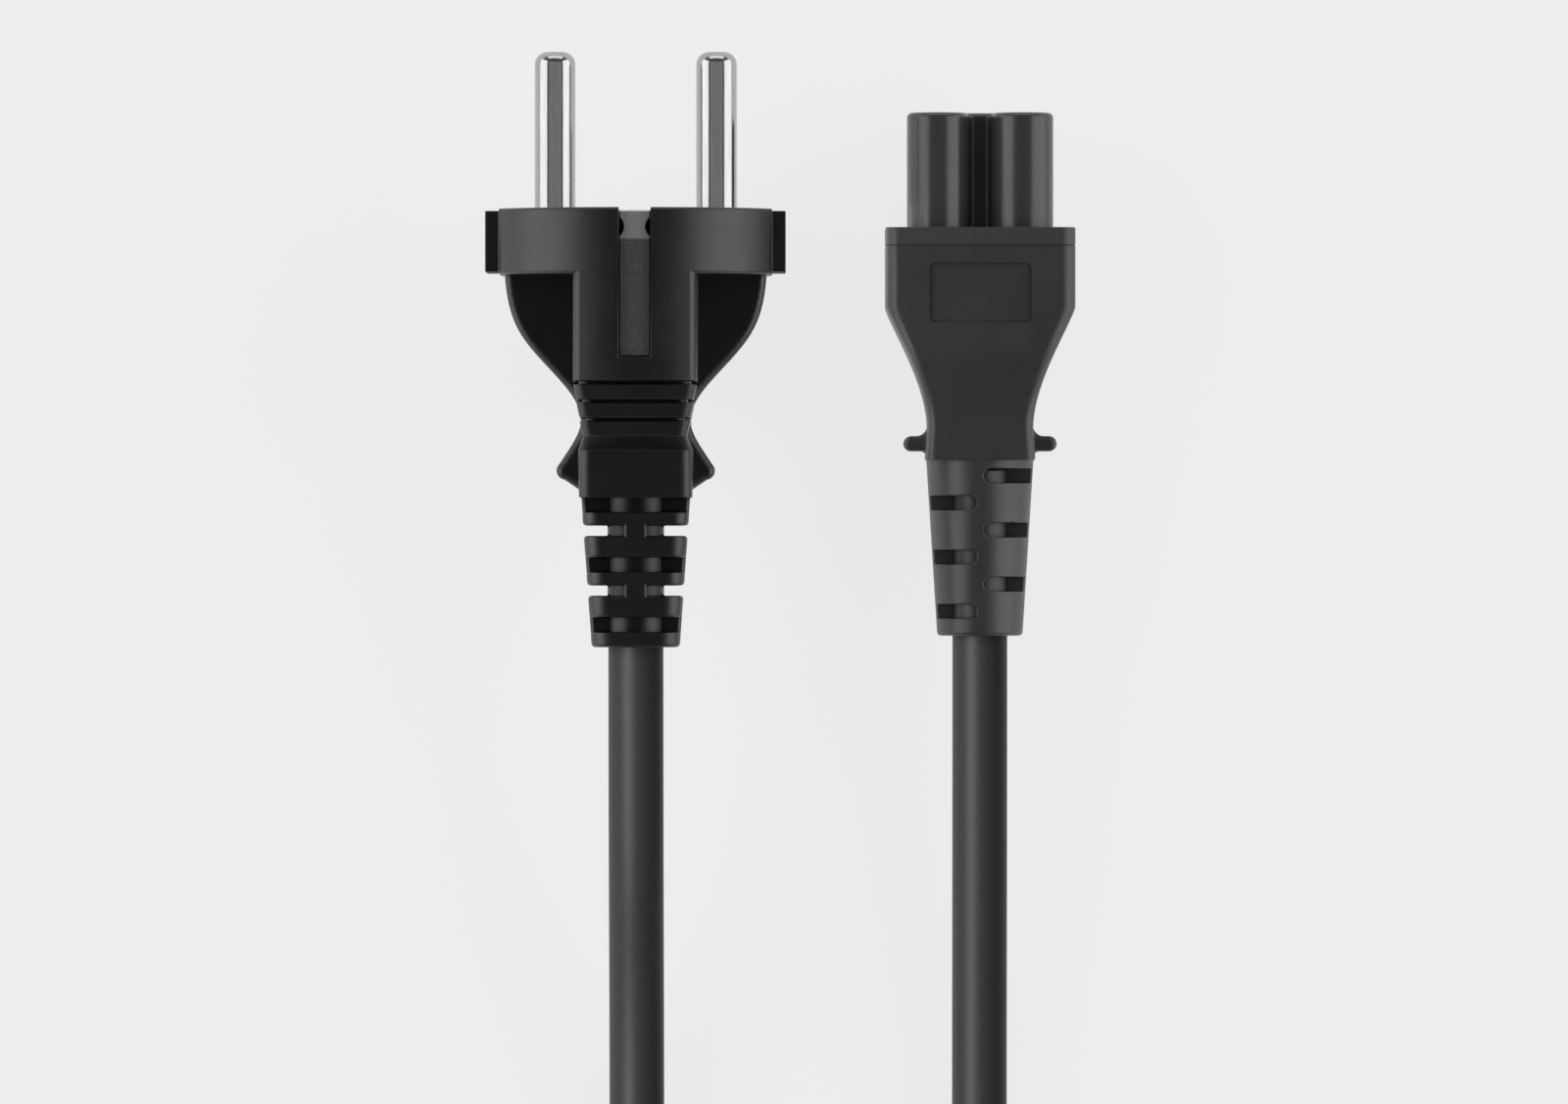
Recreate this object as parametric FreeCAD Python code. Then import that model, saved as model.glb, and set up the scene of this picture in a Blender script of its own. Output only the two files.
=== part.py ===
import FreeCAD, Part
import math
import os

from FreeCAD import Vector

# A mains lead laid flat: a three-lobed appliance connector, its cord and a two-pin earthed plug.
# Millimetres. X is to the right, Y towards the connector's mouth and the plug's pins, Z is up.
# The origin is under the middle of the connector, on the surface that it lies on.

# Connector, the part that enters the appliance
contact_spacing = 10.0
contact_drop = 5.0
lobe_radius = 3.65
insert_length = 13.6
insert_edge = 0.6
valley_floor = 1.2
valley_fillet = 0.8
flank_fillet = 2.0
contact_hole_radius = 1.4
contact_hole_depth = 2.6
contact_lead_in = 0.35

# Connector collar and moulded body
collar_thickness = 2.1
body_half_width = 11.2
body_half_height = 8.25
body_corner = 1.7
body_length = 7.3
neck_length = 14.2
neck_half_width = 6.25
neck_half_height = 6.1
neck_corner = 1.2
neck_curve = 1.8
neck_shoulder = 1.2
neck_height_start = 0.25
neck_stations = 8
neck_station_growth = 1.5
foot_length = 3.8
foot_flare = 0.25
ear_reach = 9.05
ear_thickness = 1.8
ear_half_height = 3.0
ear_edge = 0.55
ear_fillet_above = 1.3
ear_fillet_below = 0.8
label_half_width = 6.0
label_length = 7.0
label_depth = 0.3
label_corner = 0.6
label_from_collar = 2.1

# Connector strain relief
relief_length = 20.8
relief_front_radius = 6.35
relief_end_radius = 5.05
relief_edge = 0.5
relief_slot = 1.7
relief_slot_pitch = 3.2
relief_slots = 6
relief_first_slot = 1.9
relief_slot_inner = 0.4
relief_web = 1.3

# Connector insides
sleeve_radius = 1.9
sleeve_bore = 1.2
sleeve_length = 17.0
carrier_length = 6.5
carrier_inset = 3.2
crimp_radius = 1.45
crimp_length = 4.0

# Cord and its cores
cord_diameter = 6.5
cord_radius = cord_diameter / 2
core_radius = 1.05
core_ring = 1.35
core_lead = 2.5
jacket_overlap = 21.5
bond_gap = 0.05

# Plug pins
pin_spacing = 19.0
pin_radius = 2.4
pin_length = 18.6
pin_dome = 1.5
pin_root = 9.0
pin_root_radius = 2.1
pin_crimp_radius = 1.9
pin_crimp_length = 4.0

# Plug flange
flange_radius = 17.9
flange_length = 7.7
flange_edge = 0.4
disc_half_width = 16.0
lug_reach = 1.65
lug_half_height = 6.5
lug_setback = 0.25
face_recess = 0.35
face_rim = 1.0
guide_half_height = 2.8
guide_sink = 0.2

# Plug channels with the earth strips
channel_half_width = 1.85
channel_depth = 2.6
channel_length = 17.5
channel_corner = 0.9
strip_thickness = 0.9
strip_recess = 0.9
strip_setback = 0.1
strip_neck_start = 1.2
strip_neck_end = 3.4
strip_neck_depth = 0.5
strip_gap = 0.1

# Plug spine, grip terraces and neck
spine_half_width = 7.2
spine_corner = 1.3
spine_end = 20.3
terrace_count = 3
terrace_pitch = 2.15
terrace_groove = 0.4
terrace_groove_depth = 0.7
terrace_fall = 1.7
grip_half_width = 6.1
grip_end = 28.3
grip_end_half_height = 8.0
plug_neck_end = 33.9
plug_neck_half = 6.65
plug_neck_corner = 1.5

# Plug wings and hooks, as half widths at distances down from the plug's face
wing_thickness = 6.0
wing_edge = 0.9
wing_root = 15.4
wing_shoulder = Vector(14.1, -13.6, 0)
wing_flank = Vector(9.2, -19.8, 0)
wing_waist = Vector(6.45, -25.0, 0)
wing_swell = Vector(8.1, -28.6, 0)
hook_tip = Vector(9.3, -30.9, 0)
hook_tip_radius = 0.9
hook_heel = Vector(6.3, -33.2, 0)

# Plug strain relief
comb_length = 17.6
comb_front_half = 6.4
comb_end_half = 5.17
comb_front_corner = 1.9
comb_end_corner = 2.6
comb_slot = 1.7
comb_side_slot = 1.2
comb_slot_pitch = 7.05
comb_front_slots = 3
comb_first_front_slot = 0.85
comb_side_slots = 2
comb_first_side_slot = 3.9
comb_web = 1.3
comb_side_inner = 3.0

# Plug insides
carrier_half_width = 13.4
carrier_half_height = 4.4
plug_carrier_length = 6.8
plug_carrier_corner = 2.0
bracket_thickness = 0.9
bracket_half_width = 1.5
earth_pin_offset = 10.0
earth_bore = 2.5
earth_sleeve_radius = 3.3
earth_sleeve_front = 1.5
earth_mouth_gap = 0.2

# Where the two ends and the coil lie
plug_x = -40.6
plug_face_y = 19.3
cord_ground_y = -80.0
cord_bend_y = -100.0
plug_droop_run = 14.6
connector_droop_run = 13.8
bend_share = 0.45
tail_run = 18.0
coil_approach = 43.0
coil_middle_radius = 34.8
coil_turns_per_layer = 2.7
coil_layers = 2

# Worked out from the sizes above
connector_length = insert_length + collar_thickness + body_length + neck_length + foot_length + relief_length
mouth_y = connector_length / 2
connector_z = body_half_height
plug_z = math.sqrt(flange_radius ** 2 - channel_half_width ** 2)
collar_y = -insert_length
body_y = collar_y - collar_thickness
neck_y = body_y - body_length
foot_y = neck_y - neck_length
relief_y = foot_y - foot_length
plug_relief_end = plug_neck_end + comb_length
lobe_rise = contact_drop / 2
bracket_back = plug_carrier_length + 2.0


def box(x_low, x_high, y_low, y_high, z_low, z_high):
    corner = Vector(x_low, y_low, z_low)
    return Part.makeBox(x_high - x_low, y_high - y_low, z_high - z_low, corner)


def rod(radius, y_front, length, x=0.0, z=0.0):
    # A cylinder that runs back along -Y from y_front.
    return Part.makeCylinder(radius, length, Vector(x, y_front, z), Vector(0, -1, 0))


def post(radius, x, y, z_low, z_high):
    return Part.makeCylinder(radius, z_high - z_low, Vector(x, y, z_low), Vector(0, 0, 1))


def line(start, end):
    return Part.LineSegment(start, end).toShape()


def arc(centre, radius, start_deg, end_deg):
    # An arc in the plane of X and Z, through its middle point.
    def point(angle):
        turn = math.radians(angle)
        return centre + Vector(radius * math.cos(turn), 0, radius * math.sin(turn))

    middle = (start_deg + end_deg) / 2
    return Part.Arc(point(start_deg), point(middle), point(end_deg)).toShape()


def upside_down(shape):
    return shape.mirror(Vector(0, 0, 0), Vector(0, 0, 1))


def left_hand(shape):
    return shape.mirror(Vector(0, 0, 0), Vector(1, 0, 0))


def joined(first, *others):
    return first.fuse(list(others)).removeSplitter()


def rounded_wire(half_x, half_z, corner, y):
    # A rounded rectangle across the Y axis.
    x = half_x - corner
    z = half_z - corner
    edges = [
        line(Vector(half_x, y, -z), Vector(half_x, y, z)),
        arc(Vector(x, y, z), corner, 0, 90),
        line(Vector(x, y, half_z), Vector(-x, y, half_z)),
        arc(Vector(-x, y, z), corner, 90, 180),
        line(Vector(-half_x, y, z), Vector(-half_x, y, -z)),
        arc(Vector(-x, y, -z), corner, 180, 270),
        line(Vector(-x, y, -half_z), Vector(x, y, -half_z)),
        arc(Vector(x, y, -z), corner, 270, 360),
    ]
    return Part.Wire(edges)


def rounded_block(half_x, half_z, corner, y_front, length):
    face = Part.Face(rounded_wire(half_x, half_z, corner, y_front))
    return face.extrude(Vector(0, -length, 0))


def route(points):
    # Straight runs joined by tangent arcs, each arc as large as its two runs allow.
    edges = []
    radii = []
    start = points[0]
    for before, corner, after in zip(points, points[1:], points[2:]):
        back = (before - corner).normalize()
        onward = (after - corner).normalize()
        setback = bend_share * min((before - corner).Length, (after - corner).Length)
        half_turn = (math.pi - back.getAngle(onward)) / 2
        radius = setback / math.tan(half_turn)
        inward = (back + onward).normalize()
        middle = corner + inward * (radius / math.cos(half_turn) - radius)
        first = corner + back * setback
        last = corner + onward * setback
        edges.append(line(start, first))
        edges.append(Part.Arc(first, middle, last).toShape())
        radii.append(radius)
        start = last
    edges.append(line(start, points[-1]))
    return Part.Wire(edges), radii


def tube(points, radius):
    path, radii = route(points)
    circle = Part.makeCircle(radius, points[0], points[1] - points[0])
    solid = path.makePipeShell([Part.Wire([circle])], True, False)
    return solid, path.Length, radii


# Connector


def lobe_centres():
    half = contact_spacing / 2
    return Vector(half, 0, lobe_rise), Vector(-half, 0, lobe_rise), Vector(0, 0, -lobe_rise)


def insert_outline(y):
    # Two ears above and one lobe below, with a flat-bottomed valley between the ears.
    right, left, low = [centre + Vector(0, y, 0) for centre in lobe_centres()]
    spread = low - right
    reach = lobe_radius + flank_fillet
    along = math.sqrt(reach ** 2 - (spread.Length / 2) ** 2)
    across = Vector(-spread.z, 0, spread.x).normalize()
    hollow = right + spread / 2 + across * along
    to_ear = right - hollow
    to_low = low - hollow
    ear_turn = math.degrees(math.atan2(to_ear.z, to_ear.x))
    low_turn = math.degrees(math.atan2(to_low.z, to_low.x))
    gap = contact_spacing / 2 - lobe_radius
    floor_corner = Vector(gap - valley_fillet, y, valley_floor + valley_fillet)
    ear = arc(right, lobe_radius, ear_turn - 180, 180)
    wall = line(Vector(gap, y, lobe_rise), Vector(gap, y, floor_corner.z))
    corner = arc(floor_corner, valley_fillet, 0, -90)
    flank = arc(hollow, flank_fillet, low_turn, ear_turn)
    half = [flank, ear, wall, corner]
    low_start = low_turn + 180
    bottom = arc(low, lobe_radius, -180 - low_start, low_start)
    floor = line(Vector(floor_corner.x, y, valley_floor), Vector(-floor_corner.x, y, valley_floor))
    return Part.Wire(Part.__sortEdges__(half + [left_hand(edge) for edge in half] + [bottom, floor]))


def contact_places():
    names = ("neutral", "line", "earth")
    return dict(zip(names, lobe_centres()))


def connector_insert():
    nose = Part.Face(insert_outline(0)).extrude(Vector(0, -insert_length, 0))
    rim = [edge for edge in nose.Edges if edge.BoundBox.YMin > -insert_edge]
    nose = nose.makeFillet(insert_edge, rim)
    collar = rounded_block(body_half_width, body_half_height, body_corner, collar_y, collar_thickness)
    carrier = rounded_block(
        body_half_width - carrier_inset,
        body_half_height - carrier_inset / 2,
        body_corner,
        body_y,
        carrier_length,
    )
    solid = joined(nose, collar, carrier)
    back = insert_length + collar_thickness + carrier_length
    for place in contact_places().values():
        mouth = rod(contact_hole_radius, 0, back, place.x, place.z)
        lead_in = Part.makeCone(
            contact_hole_radius + contact_lead_in,
            contact_hole_radius,
            contact_lead_in,
            Vector(place.x, 0, place.z),
            Vector(0, -1, 0),
        )
        chamber = rod(sleeve_radius + bond_gap, -contact_hole_depth, back, place.x, place.z)
        solid = solid.cut([mouth, lead_in, chamber])
    return solid


def contact_sleeve(place, grow=0.0):
    barrel = rod(sleeve_radius + grow, -contact_hole_depth, sleeve_length, place.x, place.z)
    crimp_front = -contact_hole_depth - sleeve_length
    crimp = rod(crimp_radius + grow, crimp_front, crimp_length, place.x, place.z)
    solid = joined(barrel, crimp)
    if grow:
        return solid
    bore = rod(sleeve_bore, -contact_hole_depth, sleeve_length - crimp_length, place.x, place.z)
    return solid.cut(bore)


def core_start(turn_deg, y):
    # Where a core leaves the jacket's end.
    turn = math.radians(turn_deg)
    return Vector(core_ring * math.cos(turn), y, core_ring * math.sin(turn))


core_turns = {"neutral": 30.0, "line": 150.0, "earth": 270.0}


def connector_core(name, grow=0.0):
    place = contact_places()[name]
    start = core_start(core_turns[name], relief_y - relief_length + jacket_overlap)
    end = Vector(place.x, -contact_hole_depth - sleeve_length - crimp_length, place.z)
    lead = Vector(0, core_lead, 0)
    solid, _, _ = tube([start, start + lead, end - lead, end], core_radius + grow)
    return solid


def neck_loft():
    # The body narrows to the neck along a smooth curve, with a small rounded shoulder at its start.
    wires = []
    for station in range(neck_stations + 1):
        share = (station / neck_stations) ** neck_station_growth
        fall = (1 - share ** neck_shoulder) ** neck_curve
        sink_share = max(0, share - neck_height_start) / (1 - neck_height_start)
        sink = (1 + math.cos(math.pi * sink_share)) / 2
        half_x = neck_half_width + (body_half_width - neck_half_width) * fall
        half_z = neck_half_height + (body_half_height - neck_half_height) * sink
        corner = neck_corner + (body_corner - neck_corner) * fall
        wires.append(rounded_wire(half_x, half_z, corner, neck_y - neck_length * share))
    return Part.makeLoft(wires, True, False)


def ears():
    # Two small rounded lugs halfway down the foot of the neck, faired into it.
    tip_radius = ear_thickness / 2
    tip_x = ear_reach - tip_radius
    middle = foot_y - foot_length / 2
    low, high = -ear_half_height, ear_half_height
    bar = box(-tip_x, tip_x, middle - tip_radius, middle + tip_radius, low, high)
    tip = post(tip_radius, tip_x, middle, low, high)
    bar = joined(bar, tip, left_hand(tip))
    rims = [edge for edge in bar.Edges if edge.BoundBox.ZLength < 0.01]
    bar = bar.makeFillet(ear_edge, rims)
    base = neck_half_width
    fairings = []
    for end, radius in ((1, ear_fillet_above), (-1, ear_fillet_below)):
        x = base + radius
        y = middle + end * (tip_radius + radius)
        y_low, y_high = sorted((middle, y))
        fairing = box(-x, x, y_low, y_high, low + ear_edge, high - ear_edge)
        hollow = post(radius, x, y, low, high)
        fairings.append(fairing.cut([hollow, left_hand(hollow)]))
    return [bar] + fairings


def relief_slots_cut():
    # Pockets from the front and the back, by turns from the right and the left, down to the jacket.
    pockets = []
    outer = relief_front_radius + 1
    for index in range(relief_slots):
        y = relief_y - relief_first_slot - relief_slot_pitch * index
        half = relief_slot / 2
        inner = relief_slot_inner + half
        pocket = box(inner, outer, y - half, y + half, relief_web, outer)
        pocket = joined(pocket, post(half, inner, y, relief_web, outer))
        if index % 2:
            pocket = left_hand(pocket)
        pockets += [pocket, upside_down(pocket)]
    return pockets


def label_recess():
    # The front face has a shallow rounded recess, left bare.
    front = body_y - label_from_collar
    x = label_half_width - label_corner
    y_high = front - label_corner
    y_low = front - label_length + label_corner
    depth = body_half_height - label_depth
    above = body_half_height + 1
    solids = [box(-x, x, y_low - label_corner, y_high + label_corner, depth, above)]
    solids.append(box(-label_half_width, label_half_width, y_low, y_high, depth, above))
    for corner_x in (-x, x):
        for corner_y in (y_low, y_high):
            solids.append(post(label_corner, corner_x, corner_y, depth, above))
    return joined(*solids)


def connector_overmould():
    body = rounded_block(body_half_width, body_half_height, body_corner, body_y, body_length)
    foot_half_width = neck_half_width + foot_flare
    foot_half_height = neck_half_height + foot_flare
    foot_front = rounded_wire(neck_half_width, neck_half_height, neck_corner, foot_y)
    foot_back = rounded_wire(foot_half_width, foot_half_height, neck_corner, relief_y)
    foot = Part.makeLoft([foot_front, foot_back], True, True)
    cone = Part.makeCone(
        relief_front_radius,
        relief_end_radius,
        relief_length,
        Vector(0, relief_y, 0),
        Vector(0, -1, 0),
    )
    end_rim = [edge for edge in cone.Edges if edge.BoundBox.YMax < relief_y - relief_length + 0.01]
    cone = cone.makeFillet(relief_edge, end_rim)
    solid = joined(body, neck_loft(), foot, cone, *ears())
    cavities = [rounded_block(
        body_half_width - carrier_inset + bond_gap,
        body_half_height - carrier_inset / 2 + bond_gap,
        body_corner,
        body_y,
        carrier_length + bond_gap,
    )]
    for name, place in contact_places().items():
        cavities.append(contact_sleeve(place, bond_gap))
        cavities.append(connector_core(name, bond_gap))
    jacket_y = relief_y - relief_length + jacket_overlap
    cavities.append(rod(cord_radius + bond_gap, jacket_y, jacket_overlap + 1))
    for cavity in cavities:
        solid = solid.cut(cavity)
    return solid.cut(relief_slots_cut() + [label_recess()])


# Plug, drawn from its face at y = 0 back along -Y, around its own axis


def plug_pin(side, grow=0.0):
    x = side * pin_spacing / 2
    root = rod(pin_root_radius + grow, 0, pin_root, x)
    crimp = rod(pin_crimp_radius + grow, -pin_root, pin_crimp_length, x)
    if grow:
        return joined(root, crimp)
    outside = rod(pin_radius, pin_length, pin_length + face_recess, x)
    tip = [edge for edge in outside.Edges if edge.BoundBox.YMin > pin_length - 0.01]
    outside = outside.makeFillet(pin_dome, tip)
    return joined(outside, root, crimp)


def plug_carrier(grow=0.0):
    corner = plug_carrier_corner + grow
    half_x = carrier_half_width + grow
    half_z = carrier_half_height + grow
    length = plug_carrier_length - face_recess + grow
    block = rounded_block(half_x, half_z, corner, -face_recess, length)
    if grow:
        return block
    holes = [plug_pin(side, bond_gap) for side in (-1, 1)]
    return block.cut(holes)


def flange():
    # A disc with flat sides, a square lug with a guide groove at each side, and a face sunk inside its rim.
    disc = rod(flange_radius, 0, flange_length)
    rims = [edge for edge in disc.Edges if edge.BoundBox.YLength < 0.01]
    disc = disc.makeFillet(flange_edge, rims)
    far = flange_radius + disc_half_width
    back = -flange_length - 1
    side = box(disc_half_width, far, back, 1, -far, far)
    disc = disc.cut([side, left_hand(side)])
    lug_back = -flange_length + lug_setback
    lug_end = disc_half_width + lug_reach
    lug = box(0, lug_end, lug_back, -lug_setback, -lug_half_height, lug_half_height)
    guide = box(disc_half_width - guide_sink, far, back, 1, -guide_half_height, guide_half_height)
    recess = rod(flange_radius - face_rim, 1, face_recess + 1)
    recess = recess.cut([side, left_hand(side)])
    return joined(disc, lug, left_hand(lug)).cut([guide, left_hand(guide), recess])


def wing_outline():
    # The wing's flank is one smooth curve down to the hook, whose tip is a small arc.
    root = Vector(wing_root, -flange_length / 2, 0)
    flank = Part.BSplineCurve()
    flank_points = [
        root,
        Vector(wing_root, -flange_length, 0),
        wing_shoulder,
        wing_flank,
        wing_waist,
        wing_swell,
        hook_tip - Vector(hook_tip_radius * 0.3, -hook_tip_radius, 0),
    ]
    flank.interpolate(flank_points)
    flank_end = flank_points[-1]
    tip_low = hook_tip - Vector(hook_tip_radius, hook_tip_radius, 0)
    tip = Part.Arc(flank_end, hook_tip, tip_low).toShape()
    heel = line(tip_low, hook_heel)
    foot = line(hook_heel, Vector(-hook_heel.x, hook_heel.y, 0))
    top = line(Vector(-wing_root, root.y, 0), root)
    right = [flank.toShape(), tip, heel]
    edges = right + [left_hand(edge) for edge in right] + [foot, top]
    return Part.Wire(Part.__sortEdges__(edges))


def wings():
    face = Part.Face(wing_outline())
    face.translate(Vector(0, 0, -wing_thickness / 2))
    plate = face.extrude(Vector(0, 0, wing_thickness))
    flat_edges = [edge for edge in plate.Edges if edge.BoundBox.ZLength < 0.01]
    rim = [edge for edge in flat_edges if edge.BoundBox.YMin < -flange_length]
    return plate.makeFillet(wing_edge, rim)


def spine():
    # Full height, flush with the flange all the way back to the terraces.
    far = flange_radius + 2
    column = box(-spine_half_width, spine_half_width, -spine_end, -1, -far, far)
    column = column.common(rod(flange_radius - 0.02, -1, spine_end - 1))
    long_edges = [
        edge
        for edge in column.Edges
        if edge.BoundBox.YLength > 1 and edge.BoundBox.XLength < 0.01 and abs(edge.BoundBox.XMin) > 1
    ]
    return column.makeFillet(spine_corner, long_edges)


def terrace_section(v):
    # Half width and half height of the grip where it steps down.
    share = (v - spine_end) / (terrace_count * terrace_pitch)
    half_x = spine_half_width + (grip_half_width - spine_half_width) * min(share, 1)
    crown = math.sqrt(flange_radius ** 2 - (spine_half_width / 2) ** 2)
    return half_x, crown - terrace_fall * share * terrace_count / 1.5


def terraces():
    slabs = []
    for step in range(terrace_count):
        start = spine_end + terrace_pitch * step
        half_x, half_z = terrace_section(start)
        next_x, next_z = terrace_section(start + terrace_pitch)
        groove = rounded_wire(
            half_x - terrace_groove_depth,
            half_z - terrace_groove_depth - terrace_fall / 2,
            spine_corner,
            -start,
        )
        slabs.append(Part.Face(groove).extrude(Vector(0, -terrace_groove, 0)))
        front = rounded_wire(half_x, half_z - terrace_fall / 3, spine_corner, -start - terrace_groove)
        back = rounded_wire(next_x, next_z, spine_corner, -start - terrace_pitch)
        slabs.append(Part.makeLoft([front, back], True, True))
    return slabs


def grip_and_neck():
    start = spine_end + terrace_count * terrace_pitch
    half_x, half_z = terrace_section(start)
    fall = Part.makeLoft(
        [
            rounded_wire(half_x, half_z - terrace_groove_depth, spine_corner, -start),
            rounded_wire(plug_neck_half, grip_end_half_height, plug_neck_corner, -grip_end),
        ],
        True,
        True,
    )
    neck = Part.makeLoft(
        [
            rounded_wire(plug_neck_half, grip_end_half_height, plug_neck_corner, -grip_end),
            rounded_wire(plug_neck_half, plug_neck_half, plug_neck_corner, -plug_neck_end),
        ],
        True,
        True,
    )
    return fall, neck


def comb():
    # The strain relief is a rounded square that gets smaller and rounder towards its end.
    sleeve = Part.makeLoft(
        [
            rounded_wire(comb_front_half, comb_front_half, comb_front_corner, -plug_neck_end),
            rounded_wire(comb_end_half, comb_end_half, comb_end_corner, -plug_relief_end),
        ],
        True,
        True,
    )
    end_rim = [edge for edge in sleeve.Edges if edge.BoundBox.YMax < -plug_relief_end + 0.01]
    return sleeve.makeFillet(relief_edge, end_rim)


def comb_slots():
    # Slots from front and back leave a web at each side, and slots from the sides leave one front and back.
    cuts = []
    outer = comb_front_half + 1
    for index in range(comb_front_slots):
        y = -plug_neck_end - comb_first_front_slot - comb_slot_pitch * index
        pocket = box(-outer, outer, y - comb_slot / 2, y + comb_slot / 2, comb_web, outer)
        cuts += [pocket, upside_down(pocket)]
    half = comb_side_slot / 2
    inner = comb_side_inner + half
    for index in range(comb_side_slots):
        y = -plug_neck_end - comb_first_side_slot - comb_slot_pitch * index
        see_through = box(inner, outer, y - half, y + half, -outer, outer)
        see_through = joined(see_through, post(half, inner, y, -outer, outer))
        pocket = box(comb_web, outer, y - half, y + half, comb_web, outer)
        for piece in (see_through, pocket, upside_down(pocket)):
            cuts += [piece, left_hand(piece)]
    return cuts


def channel():
    # One rounded channel along the front, for the earth strip.
    depth = flange_radius - channel_depth
    far = flange_radius + 1
    x = channel_half_width - channel_corner
    wide = box(-channel_half_width, channel_half_width, -channel_length, 1, depth + channel_corner, far)
    floor = box(-x, x, -channel_length, 1, depth, far)
    right = rod(channel_corner, 1, channel_length + 1, x, depth + channel_corner)
    return joined(wide, floor, right, left_hand(right))


def earth_strip():
    # A flat strip that lies on the channel's floor, with a waist near the plug's face.
    half = channel_half_width - strip_gap
    top = flange_radius - strip_recess
    low = top - strip_thickness
    end_y = -channel_length + strip_gap
    strip = box(-half, half, end_y, -face_recess - strip_setback, low, top)
    middle = (strip_neck_start + strip_neck_end) / 2
    half_length = (strip_neck_end - strip_neck_start) / 2
    notch_radius = (half_length ** 2 + strip_neck_depth ** 2) / (2 * strip_neck_depth)
    notch = post(notch_radius, half + notch_radius - strip_neck_depth, -middle, low - 1, top + 1)
    strip = strip.cut([notch, left_hand(notch)])
    flat = channel_half_width - channel_corner
    bed = box(-flat, flat, end_y, -face_recess - strip_setback, flange_radius - channel_depth, low)
    return joined(strip, bed)


def earth_bracket(grow=0.0):
    # Both strips, the bar that joins them behind the pin carrier, and the bar's crimp.
    half = bracket_half_width + grow
    reach = flange_radius - channel_depth
    bar = box(-half, half, -bracket_back - bracket_thickness - grow, -bracket_back + grow, -reach, reach)
    crimp = rod(crimp_radius + grow, -bracket_back - bracket_thickness, crimp_length)
    if grow:
        return joined(bar, crimp)
    strip = earth_strip()
    return joined(bar, crimp, strip, upside_down(strip))


def earth_sleeve(grow=0.0):
    length = bracket_back - earth_sleeve_front
    barrel = rod(earth_sleeve_radius + grow, -earth_sleeve_front, length, 0, -earth_pin_offset)
    if grow:
        return barrel
    return barrel.cut(rod(earth_bore, -earth_sleeve_front, length, 0, -earth_pin_offset))


def plug_core(name, grow=0.0):
    start = core_start(core_turns[name], -plug_relief_end + jacket_overlap)
    ends = {
        "neutral": Vector(pin_spacing / 2, -pin_root - pin_crimp_length, 0),
        "line": Vector(-pin_spacing / 2, -pin_root - pin_crimp_length, 0),
        "earth": Vector(0, -bracket_back - bracket_thickness - crimp_length, 0),
    }
    end = ends[name]
    lead = Vector(0, core_lead, 0)
    solid, _, _ = tube([start, start + lead, end - lead, end], core_radius + grow)
    return solid


def plug_overmould():
    solid = joined(flange(), wings(), spine(), *terraces(), *grip_and_neck(), comb())
    front = channel()
    mouth = rod(earth_bore + earth_mouth_gap, 1, earth_sleeve_front + 1, 0, -earth_pin_offset)
    cavities = [front, upside_down(front), mouth, plug_carrier(bond_gap)]
    cavities += [plug_pin(side, bond_gap) for side in (-1, 1)]
    cavities += [earth_bracket(bond_gap), earth_sleeve(bond_gap)]
    cavities += [plug_core(name, bond_gap) for name in core_turns]
    jacket_y = -plug_relief_end + jacket_overlap
    cavities.append(rod(cord_radius + bond_gap, jacket_y, jacket_overlap + 1))
    solid = solid.cut(cavities)
    return solid.cut(comb_slots())


# Cord


def coil_places():
    # The coil lies below both ends, halfway between them.
    # Each side's straight approach touches its outer turn.
    outer_turn = coil_middle_radius + cord_diameter * coil_turns_per_layer / 2
    half_gap = -plug_x / 2
    to_centre = math.sqrt(outer_turn ** 2 + coil_approach ** 2)
    centre = Vector(plug_x / 2, cord_bend_y - math.sqrt(to_centre ** 2 - half_gap ** 2), 0)
    return centre, outer_turn, to_centre


def coil_touch(bend, side):
    centre, outer_turn, to_centre = coil_places()
    toward = math.atan2(bend.y - centre.y, bend.x - centre.x)
    angle = toward + side * math.acos(outer_turn / to_centre)
    return centre + Vector(outer_turn * math.cos(angle), outer_turn * math.sin(angle), 0)


def plug_side_route():
    exit_y = plug_face_y - plug_relief_end
    start = Vector(plug_x, exit_y + jacket_overlap, plug_z)
    droop = Vector(plug_x, exit_y - plug_droop_run, plug_z)
    ground = Vector(plug_x, cord_ground_y, cord_radius)
    bend = Vector(plug_x, cord_bend_y, cord_radius)
    touch = coil_touch(bend, 1) + Vector(0, 0, cord_radius)
    tail = bend + (touch - bend).normalize() * tail_run
    return [start, droop, ground, bend, tail], touch


def connector_side_route():
    exit_y = mouth_y - connector_length
    start = Vector(0, exit_y + jacket_overlap, connector_z)
    droop = Vector(0, exit_y - connector_droop_run, connector_z)
    ground = Vector(0, cord_ground_y, cord_radius)
    bend = Vector(0, cord_bend_y, cord_radius)
    touch = coil_touch(bend, -1) + Vector(0, 0, cord_radius + cord_diameter * (coil_layers - 1))
    tail = bend + (touch - bend).normalize() * tail_run
    return [start, droop, ground, bend, tail], touch


def coil_tail(points, touch):
    tail = points[-1]
    return Part.makeCylinder(cord_radius, (touch - tail).Length, tail, touch - tail)


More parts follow.
